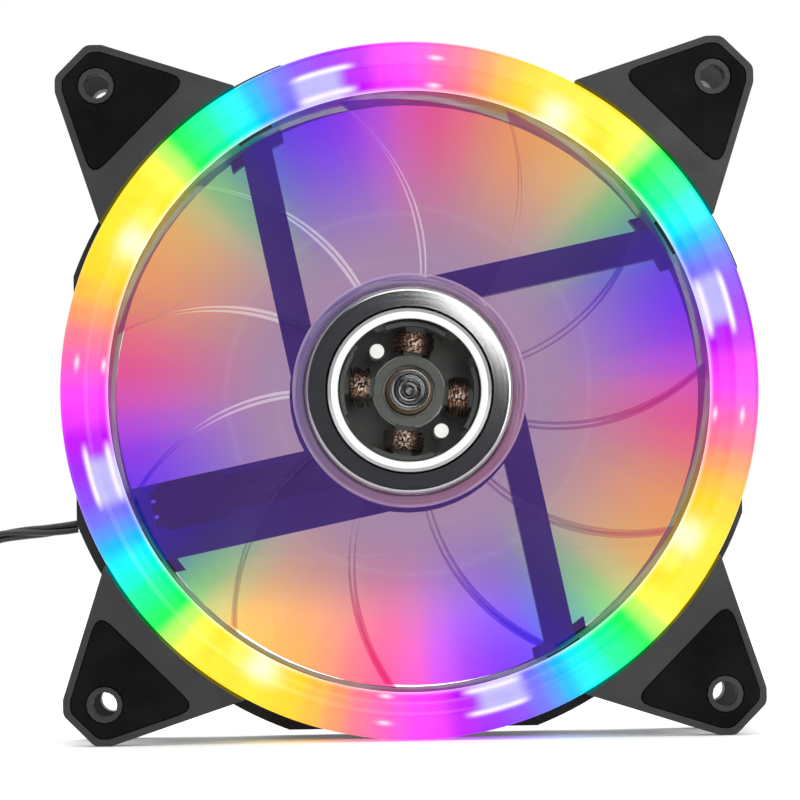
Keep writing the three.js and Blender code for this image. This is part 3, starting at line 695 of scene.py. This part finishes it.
def add_block(build, degrees, inner, outer, half_width, front, rear):
    """Adds a box that points away from the axis."""
    angle = math.radians(degrees)
    along = Vector((math.cos(angle), 0, math.sin(angle)))
    side = Vector((-math.sin(angle), 0, math.cos(angle)))
    corners = []
    for radius in (inner, outer):
        for offset in (-half_width, half_width):
            for y in (front, rear):
                place = along * radius + side * offset + Vector((0, y, 0))
                corners.append(build.verts.new(place * MM + Vector((0, 0, AXIS_HEIGHT))))
    for face in ((0, 1, 3, 2), (4, 6, 7, 5), (0, 4, 5, 1), (2, 3, 7, 6), (0, 2, 6, 4), (1, 5, 7, 3)):
        build.faces.new([corners[i] for i in face])


# ---- Impeller ------------------------------------------------------------------------------------
BLADE_ROWS = 40           # each blade's rows from hub to tip, before the rounding at its tip
BLADE_EDGE = 0.035        # share of the blade over which its edges round off
BLADE_CAMBER = 0.12
BLADE_MIDDLE = 12         # columns between the strips where blades lap
LAP = (BLADE_SPAN - 360 / BLADE_COUNT) / BLADE_SPAN    # share of a blade that lies over the next
LAP_SEEN = 0.8            # how much less of the lap shows at the tips, from in front
LAP_STEP = 0.001          # share of the blade over which the tint changes where a lap ends
BLADE_SHARE = 0.12        # what one face of a blade hides
BLADE_GLOW = linear("402a68")    # painted light: the ring's light in a blade, as it shows over black
WALL_START = 17.9         # the hub's face ends and its wall begins between these radii
WALL_FULL = 18.6
HUB_HIGHLIGHT_RINGS = (18.3, 19.0, 19.85)    # painted highlights: bright lines in the hub's wall


def blade_centre(along, across):
    """Radius, angle and y of the middle of a blade, and how far out that is on the CAD blade."""
    radius = BLADE_ROOT + (BLADE_TIP - BLADE_ROOT) * along
    cad_along = (radius - CAD_ROOT) / (BLADE_TIP - CAD_ROOT)
    angle = BLADE_LEAN * cad_along ** 1.4 + BLADE_SPAN * (0.5 - across)
    rise = across + BLADE_CAMBER * math.sin(math.pi * across)
    y = BLADE_FRONT + (BLADE_REAR - BLADE_FRONT) * rise
    return radius, angle, y, cad_along


def blade_columns(radius):
    """Places across a blade, and the share of it that the next blade covers as the camera sees it."""
    lap = LAP * (1 - LAP_SEEN * smooth(BLADE_ROOT, BLADE_TIP, radius))
    near = [0, 0.15 * lap, 0.5 * lap, lap - LAP_STEP, lap + LAP_STEP, lap + 0.012, lap + 0.03]
    middle = [near[-1] + (1 - 2 * near[-1]) * i / BLADE_MIDDLE for i in range(1, BLADE_MIDDLE)]
    return near + middle + [1 - place for place in reversed(near)], lap


def blade_section(along):
    """One closed loop round the blade: its front face from edge to edge, then its rear face."""
    columns, lap = blade_columns(blade_centre(along, 0)[0])
    tip = max(0.0, (along - 1 + BLADE_EDGE / 2) / (BLADE_EDGE / 2))
    loop = []
    for face, places in ((-1, columns), (1, columns[-2:0:-1])):
        for across in places:
            radius, angle, y, cad_along = blade_centre(along, across)
            edge = max(0.0, (abs(2 * across - 1) - 1 + 2 * BLADE_EDGE) / (2 * BLADE_EDGE))
            half = 0.5 + 0.5 * math.sin(math.pi * across) * (1.3 - 0.6 * cad_along)
            half *= round_off(edge) * round_off(tip)
            loop.append((radius, angle, y + face * half, min(across, 1 - across) < lap))
    return loop


def round_off(share):
    """How much of the thickness is left, a share of the way through a half-round edge."""
    return math.sqrt(max(0.0, 1 - share ** 2))


def blade_paint(open_colour, shared):
    """The painted tint and painted light of one face of a blade, from the ring's light; two blades
    share them where they lap.
    """
    tint = []
    lit = []
    for shown, glow in zip(open_colour, BLADE_GLOW):
        passed = max(0.0, shown - glow) ** (0.5 - 0.25 * shared)
        tint.append(min(1.0, passed / (1 - BLADE_SHARE)))
        lit.append(glow / (BLADE_SHARE * (1 + passed) * (1 + shared * passed ** 2)))
    return tint, lit


def add_blade(build, turn):
    """Adds one closed blade, painted with the ring's light: its glow and its tint."""
    painted_glow = build.verts.layers.float_color["painted_glow"]
    veil = build.verts.layers.float_color["veil"]
    rows = [i / BLADE_ROWS for i in range(BLADE_ROWS)] + [1 - BLADE_EDGE / 6, 1 - BLADE_EDGE / 24, 1]
    rings = []
    for along in rows:
        ring = []
        for radius, angle, y, shared in blade_section(along):
            corner = build.verts.new(at(radius, angle + turn, y))
            tint, lit = blade_paint(blade_light(radius, angle + turn), shared)
            corner[painted_glow] = (*lit, 1)
            corner[veil] = (*tint, 1)
            ring.append(corner)
        rings.append(ring)
    skin(build, rings)


def make_blade_material():
    """Clear plastic with the ring's light painted in as glow and tint: more coloured towards the tips.
    """
    material = surface("blade_plastic", GREY * 0.02, 0.6, Specular_IOR_Level=0.05,
                       Emission_Strength=1.0)
    tree, shader = parts_of(material)
    cloud = between(tree, noise_of(tree, 14, 2.0).outputs["Fac"], 0.93, 1.07)
    tree.links.new(scaled(tree, read_paint(tree, "painted_glow"), cloud), shader.inputs["Emission Color"])
    clear = node_of(tree, "ShaderNodeBsdfTransparent")
    tree.links.new(read_paint(tree, "veil"), clear.inputs["Color"])
    both = node_of(tree, "ShaderNodeMixShader", Fac=BLADE_SHARE)
    tree.links.new(clear.outputs[0], both.inputs[1])
    tree.links.new(shader.outputs[0], both.inputs[2])
    tree.links.new(both.outputs[0], tree.nodes["Material Output"].inputs["Surface"])
    grain(material, 0.9, 0.01)
    return material


def make_clear_material():
    """Clear plastic: nearly invisible face on, with the ring's light painted into its wall."""
    material = surface("clear_plastic", GREY * 0.03, 0.06, Specular_IOR_Level=0.6,
                       Emission_Strength=1.0)
    tree, shader = parts_of(material)
    tree.links.new(read_paint(tree, "painted_glow"), shader.inputs["Emission Color"])
    split = tree.nodes.new("ShaderNodeSeparateColor")
    tree.links.new(read_paint(tree, "veil"), split.inputs["Color"])
    tree.links.new(split.outputs["Red"], shader.inputs["Alpha"])
    grain(material, 1.5, 0.002)
    return material


def hub_painted_light(co):
    """The ring's light painted in the hub's wall: violet, pinker towards the lower right, with painted
    highlights as bright lines.
    """
    radius, degrees = polar(co)
    wall = smooth(WALL_START, WALL_FULL, radius)
    pink = 0.5 + 0.5 * math.cos(math.radians(degrees + 30))
    colour = linear("8064a4").lerp(linear("b4608e"), pink * 0.8)
    lines = sum(bump_of(radius, line, 0.12) for line in HUB_HIGHLIGHT_RINGS)
    return colour * (wall * 0.75) + GREY * (0.45 * lines * wall)


def hub_veil(co):
    """How much the hub hides: little over its face, and more in its wall."""
    radius, _ = polar(co)
    return GREY * (0.06 + 0.38 * smooth(WALL_START, WALL_FULL, radius))


def make_impeller():
    """The clear moulding in two pieces: the blades, and the hub with its boss."""
    build = bmesh.new()
    build.verts.layers.float_color.new("painted_glow")
    build.verts.layers.float_color.new("veil")
    for i in range(BLADE_COUNT):
        add_blade(build, 360 * i / BLADE_COUNT)
    blades = mesh_of(build, 60)
    nodes = ("impeller",)
    add_object("impeller_blades", blades, ROTOR, make_blade_material(), nodes)
    step = HUB_FRONT + 0.2
    inner = HUB_FRONT + 1.1
    boss_end = -5.2
    profile = rounded([
        (0, HUB_FRONT, 0), (17.6, HUB_FRONT, 0), (HUB - 1.5, HUB_FRONT, 0.1), (HUB - 1.2, step, 0.1),
        (HUB - 0.7, step, 0.2), (HUB, HUB_FRONT + 0.9, 0.3), (HUB, HUB_REAR, 0.3),
        (18.5, HUB_REAR, 0.3), (18.2, inner, 0.4), (17.6, inner, 0), (4.65, inner, 0.2),
        (4.65, boss_end, 0.15), (3.65, boss_end, 0.15), (3.65, inner, 0.2), (0, inner, 0),
    ])
    clear = make_clear_material()
    hub = lathe("impeller_hub", profile, TURNED_STEPS, ROTOR, clear, nodes)
    # The ring's light and highlights painted into the hub's wall
    paint(hub.data, "painted_glow", hub_painted_light)
    paint(hub.data, "veil", hub_veil)


# ---- Rotor steel ---------------------------------------------------------------------------------
def make_yoke():
    """Drawn steel cup: a flat annulus, a groove, and a lip rolled round the opening."""
    cup_outline = rounded([
        (13.55, YOKE_FRONT, 0.1), (13.8, YOKE_FRONT, 0), (YOKE - 0.9, YOKE_FRONT, 0),
        (YOKE - 0.05, YOKE_FRONT, 0.7), (YOKE, -7.6, 0), (YOKE, YOKE_REAR, 0.2),
        (YOKE - 1, YOKE_REAR, 0.2), (YOKE - 1, -7.95, 0.4),
    ], 6)
    profile = cup_outline + arc(12.95, -8.5, 0.72, 50, 310, 20)
    nodes = ("rotor_yoke",)
    cup = lathe("yoke_cup", profile, TURNED_STEPS, ROTOR, yoke_steel, nodes, sharp=50)
    # The steel lip is painted near-white with a faint glow: a painted reflection of the white
    # surroundings in its rolled edge.
    bright = surface("lip_painted_reflection", (0.86, 0.9, 0.87), 0.25, Emission_Strength=0.06,
                     Emission_Color=(0.9, 1, 0.95, 1))
    vary_roughness(bright, 2, 0.2, 0.32)
    grain(bright, 0.4, 0.002)
    cup.data.materials.append(bright)
    for face in cup.data.polygons:
        radius, _ = polar(face.center)
        if radius < LIP_OUTER and face.center.y < LIP_REAR * MM:
            face.material_index = 1


def make_shaft():
    """The shaft, with a groove for its clip near the rear end, and the bush that holds the hub."""
    profile = rounded([
        (0, -8.9, 0), (0.45, -9.2, 0.05), (1.2, -9.2, 0.05), (1.5, -8.95, 0.05), (1.5, 8.7, 0.05),
        (1.15, 8.7, 0.03), (1.15, 9.4, 0.03), (1.5, 9.4, 0.05), (1.5, 9.7, 0.1), (1, 10.2, 0.1),
        (0, 10.2, 0),
    ], 3)
    lathe("shaft_pin", profile, 64, ROTOR, shaft_steel, ("shaft",))
    bush = rounded([
        (1.56, -9.2, 0.1), (2.2, -9.2, 0.08), (2.35, -9.0, 0.08), (3.0, -9.0, 0.08), (3.15, -9.2, 0.08),
        (3.55, -9.2, 0.15), (3.55, -5, 0.15), (1.56, -5, 0.15),
    ], 3)
    lathe("bush_ring", bush, 96, ROTOR, shaft_steel, ("shaft_bush",))


# ---- Windings ------------------------------------------------------------------------------------
POLE_ANGLE = -7
WINDING_START = 6.95      # the first and last turn's distance from the axis
WINDING_END = 10.15
WINDING_TURNS = 10        # in the widest layer
WINDING_MIDDLE = 1.4      # y
WINDING_WIRE = 0.17
WINDING_LAYERS = [        # half width, half height and turns of each layer
    (2.2, 4.5, 10), (2.62, 4.92, 9), (3.04, 5.3, 10), (3.42, 5.6, 7),
]
WINDING_LEAN = 0.09       # unevenness of the turns
WINDING_SLACK = 0.04
# Colour of the painted highlights on the windings' fronts
GLINT = Vector((0.95, 0.72, 0.58))


def winding_loop(half_width, half_height, corner, steps=5):
    """A rounded rectangle about an arm: across it, and along the fan's axis."""
    centres = [(1, 1, 0), (-1, 1, 90), (-1, -1, 180), (1, -1, 270)]
    points = []
    for sx, sy, start in centres:
        for i in range(steps + 1):
            angle = math.radians(start + 90 * i / steps)
            x = sx * (half_width - corner) + corner * math.cos(angle)
            y = sy * (half_height - corner) + corner * math.sin(angle)
            points.append((x, y))
    return points


def glint_at(co, pole_degrees):
    """How far the painted highlight in the middle of a winding's front reaches: 1 there, and 0
    elsewhere.
    """
    radius, degrees = polar(co)
    offset = radius * math.sin(math.radians(degrees - pole_degrees))
    return bump_of(offset, 0, 1.15) * bump_of(radius, 8.2, 1.5) * (1 - smooth(-3.4, -2.6, co.y / MM))


def make_glints():
    """Copper's emission: the painted highlight patch broken up into short strokes."""
    tree, shader = parts_of(copper)
    strokes = between(tree, noise_of(tree, 0.45, 1.0).outputs["Fac"], 0.0, 1.0, 0.48, 0.62)
    tree.links.new(scaled(tree, read_paint(tree, "glow"), strokes), shader.inputs["Emission Color"])


def make_windings():
    """Enamelled wire in layers round each pole, a loop for each turn, a little uneven."""
    dice = random.Random(7)
    step = (WINDING_END - WINDING_START) / (WINDING_TURNS - 1)
    for pole in range(4):
        build = bmesh.new()
        angle = POLE_ANGLE + QUARTER * pole
        turn = math.radians(angle)
        out = Vector((math.cos(turn), 0, math.sin(turn)))
        side = Vector((-math.sin(turn), 0, math.cos(turn)))
        for width, height, turns in WINDING_LAYERS:
            first = WINDING_START + step * (WINDING_TURNS - turns) / 2
            for i in range(turns):
                lean = dice.uniform(-WINDING_LEAN, WINDING_LEAN)
                slack = dice.uniform(-WINDING_SLACK, WINDING_SLACK)
                reach = first + step * i
                loop = []
                for x, y in winding_loop(width + slack, height, width - 0.1):
                    place = out * (reach + lean * x) + side * x + Vector((0, y + WINDING_MIDDLE, 0))
                    loop.append(place * MM + Vector((0, 0, AXIS_HEIGHT)))
                add_hoop(build, loop, WINDING_WIRE * MM)
        mesh = mesh_of(build)
        # Painted highlights in the middle of each winding's front
        paint(mesh, "glow", lambda co: GLINT * glint_at(co, angle))
        nodes = (f"coil_{pole + 1}",)
        add_object(f"winding_{pole + 1}", mesh, HOUSING, copper, nodes)


def add_hoop(build, centres, radius, sides=6):
    """Adds a tube whose ends meet."""
    count = len(centres)
    middle = sum(centres, Vector()) / count
    normal = (centres[0] - middle).cross(centres[count // 4] - middle).normalized()
    rings = []
    for i, point in enumerate(centres):
        forward = (centres[(i + 1) % count] - centres[i - 1]).normalized()
        away = forward.cross(normal).normalized()
        ring = []
        for k in range(sides):
            angle = 2 * math.pi * k / sides
            outwards = away * math.cos(angle) + normal * math.sin(angle)
            ring.append(build.verts.new(point + outwards * radius))
        rings.append(ring)
    skin(build, rings, closed=True)


# ---- Pieces that keep their CAD shape ------------------------------------------------------------
STRUT_GLOW = Vector((0.0, 0.01, 0.25))
STRUT_FRONT = 7           # the struts' front faces lie between these y
STRUT_BACK = 9
WALL_SLACK = 0.4


def paint_frame(mesh):
    """The ring's light where it falls on the frame: on the bore's wall, and faint on the struts."""
    layer = mesh.color_attributes.new("glow", "FLOAT_COLOR", "CORNER")
    for face in mesh.polygons:
        corners = [mesh.vertices[i].co for i in face.vertices]
        radii = [polar(co)[0] for co in corners]
        on_bore = all(abs(radius - BORE) < WALL_SLACK for radius in radii)
        on_wall = on_bore and abs(face.normal.y) < 0.5
        inside = all(radius < BORE + WALL_SLACK for radius in radii)
        faces_front = face.normal.y < -0.9
        on_strut = inside and faces_front and STRUT_FRONT < face.center.y / MM < STRUT_BACK
        for loop, co in zip(face.loop_indices, corners):
            radius, degrees = polar(co)
            colour = Vector((0, 0, 0))
            if on_wall:
                colour = hue_at(RING_HUES, degrees) * (0.26 - 0.18 * smooth(RING_LIP, 12, co.y / MM))
            elif on_strut:
                colour = STRUT_GLOW * smooth(12, 45, radius)
            layer.data[loop].color = (*colour, 1)


def lit_charcoal():
    """The frame's plastic, with the ring's light painted on it."""
    material = charcoal.copy()
    tree, shader = parts_of(material)
    shader.inputs["Emission Strength"].default_value = 1.0
    tree.links.new(read_paint(tree, "glow"), shader.inputs["Emission Color"])
    return material


def make_refined():
    """Every piece whose shape is the CAD's. Returns the connector's pieces, which go with the cord."""
    shell = refined("frame", 0.18, lit_charcoal())
    paint_frame(shell.data)
    for i in range(1, 5):
        refined(f"front_pad_{i}", 0.3, pad_rubber, 3)
        refined(f"rear_pad_{i}", 0.3, pad_rubber, 3)
    refined("led_board", 0.05, board_white)
    led = surface("led_package", linear("f0f0ea"), 0.3, Emission_Strength=1.0,
                  Emission_Color=(1, 0.85, 1, 1))
    grain(led, 0.2, 0.004)
    for i in range(1, 17):
        refined(f"led_{i}", 0.12, led)
    refined("led_lead", 0.05, jacket)
    refined("stator_core", 0.08, laminations)
    refined("insulator_front", 0.12, insulator_plastic)
    refined("insulator_rear", 0.12, insulator_plastic)
    for i in (1, 2):
        refined(f"insulator_pin_{i}", 0.15, white_plastic)
    refined("motor_board", 0.08, board_olive)
    refined("hall_sensor", 0.1, black_plastic)
    refined("bearing_tube", 0.08, brass)
    refined("sleeve_bearing", 0.03, bronze)
    refined("oil_seal", 0.05, seal_rubber)
    refined("end_cap", 0.15, black_plastic)
    refined("rear_label", 0.03, label_foil)
    refined("ring_magnet", 0.1, magnet_material, body=ROTOR)
    refined("retaining_clip", 0.05, spring_steel, body=ROTOR)
    refined("wire_cover", 0.35, black_plastic, 3)
    housing = refined("connector_housing", 0.15, connector_plastic)
    terminals = [refined(f"terminal_{i}", 0.08, tinned) for i in (1, 2, 3)]
    return [housing, *terminals]


def make_tie():
    """A narrow strap drawn round the coil."""
    low, high = 0.05, 5.6
    inner, outer = COIL_NARROW - 1.65, COIL_WIDE + 1.55
    outside = rounded([(inner, low, 1.3), (outer, low, 1.3), (outer, high, 1.6), (inner, high, 1.6)], 8)
    low, high = low + TIE_THICKNESS, high - TIE_THICKNESS
    inner, outer = inner + TIE_THICKNESS, outer - TIE_THICKNESS
    inside = rounded([
        (inner, low, 1.0), (outer, low, 1.0), (outer, high, 1.25), (inner, high, 1.25),
    ], 8)
    angle = math.radians(TIE_ANGLE)
    out = Vector((math.cos(angle), math.sin(angle), 0))
    side = Vector((-math.sin(angle), math.cos(angle), 0))
    centre = Vector((*COIL_PLACE, 0))
    build = bmesh.new()

    def vert(radius, height, offset):
        return build.verts.new((centre + out * radius + side * offset + Vector((0, 0, height))) * MM)

    half = TIE_WIDTH / 2
    edges = ((outside, -half), (outside, half), (inside, half), (inside, -half))
    rings = [[vert(radius, height, offset) for radius, height in outline] for outline, offset in edges]
    skin(build, rings, closed=True)
    mesh = mesh_of(build, 40)
    tie = add_object("tie_strap", mesh, HOUSING, black_plastic, ("cable_tie",))
    bevel = tie.modifiers.new("edges", "BEVEL")
    bevel.width = TIE_BEVEL * MM
    bevel.segments = 2
    return tie


# ---- Stage ---------------------------------------------------------------------------------------
FLOOR_SIZE = 12.0
FLAG_SIZE = 1.1
FLAG_Y = -0.75
KEY_PLACE = (0.1735, -0.60, 0.2483)
KEY_TARGET = (0.1735, 0, 0.2483)
TOP_PLACE = (0, 0.3, 1.4)


def make_stage():
    """The floor, and a dark card that only the steel's reflections see."""
    floor_material = surface("floor", GREY * 0.93, 0.75, Specular_IOR_Level=0.1, Emission_Strength=0.1,
                             Emission_Color=(1, 1, 1, 1))
    vary_roughness(floor_material, 40, 0.7, 0.8)
    build = bmesh.new()
    bmesh.ops.create_grid(build, x_segments=8, y_segments=8, size=FLOOR_SIZE / 2)
    floor = bpy.data.objects.new("floor", mesh_of(build))
    floor.data.materials.append(floor_material)
    bpy.context.scene.collection.objects.link(floor)
    flag_material = surface("flag", (0.035, 0.033, 0.042), 0.9)
    build = bmesh.new()
    bmesh.ops.create_grid(build, x_segments=1, y_segments=1, size=FLAG_SIZE / 2)
    flag = bpy.data.objects.new("flag", mesh_of(build))
    flag.data.materials.append(flag_material)
    flag.location = (0, FLAG_Y, AXIS_HEIGHT)
    flag.rotation_euler = (math.radians(90), 0, 0)
    for way in ("camera", "diffuse", "transmission", "volume_scatter", "shadow"):
        setattr(flag, "visible_" + way, False)
    bpy.context.scene.collection.objects.link(flag)


def add_area(name, place, target, size, power, roll=0.0):
    """A square lamp that the camera doesn't see, turned by roll about its own beam."""
    data = bpy.data.lights.new(name, "AREA")
    data.shape = "SQUARE"
    data.size = size
    data.energy = power
    lamp = bpy.data.objects.new(name, data)
    bpy.context.scene.collection.objects.link(lamp)
    lamp.location = place
    look = (Vector(target) - Vector(place)).to_track_quat("-Z", "Y")
    lamp.rotation_euler = look.to_euler()
    lamp.rotation_euler.rotate_axis("Z", math.radians(roll))
    lamp.visible_camera = False


def make_lights():
    """White surroundings, a large lamp overhead, and a key lamp that shows in the steel."""
    world = bpy.data.worlds.new("studio")
    world.use_nodes = True
    sky = world.node_tree.nodes["Background"]
    sky.inputs["Color"].default_value = (1, 1, 1, 1)
    sky.inputs["Strength"].default_value = 1.0
    bpy.context.scene.world = world
    add_area("key", KEY_PLACE, KEY_TARGET, 0.40, 1.8, roll=45)
    add_area("top", TOP_PLACE, (0, 0, AXIS_HEIGHT), 1.4, 16.0)
    bpy.context.scene.view_settings.view_transform = "Standard"


# ---- Building ------------------------------------------------------------------------------------
cord, cord_path = make_cord()
plug_pieces = make_refined()
tie = make_tie()
make_motor_lead()
make_light_ring()
make_impeller()
make_yoke()
make_shaft()
make_glints()
make_windings()
make_stage()
make_lights()
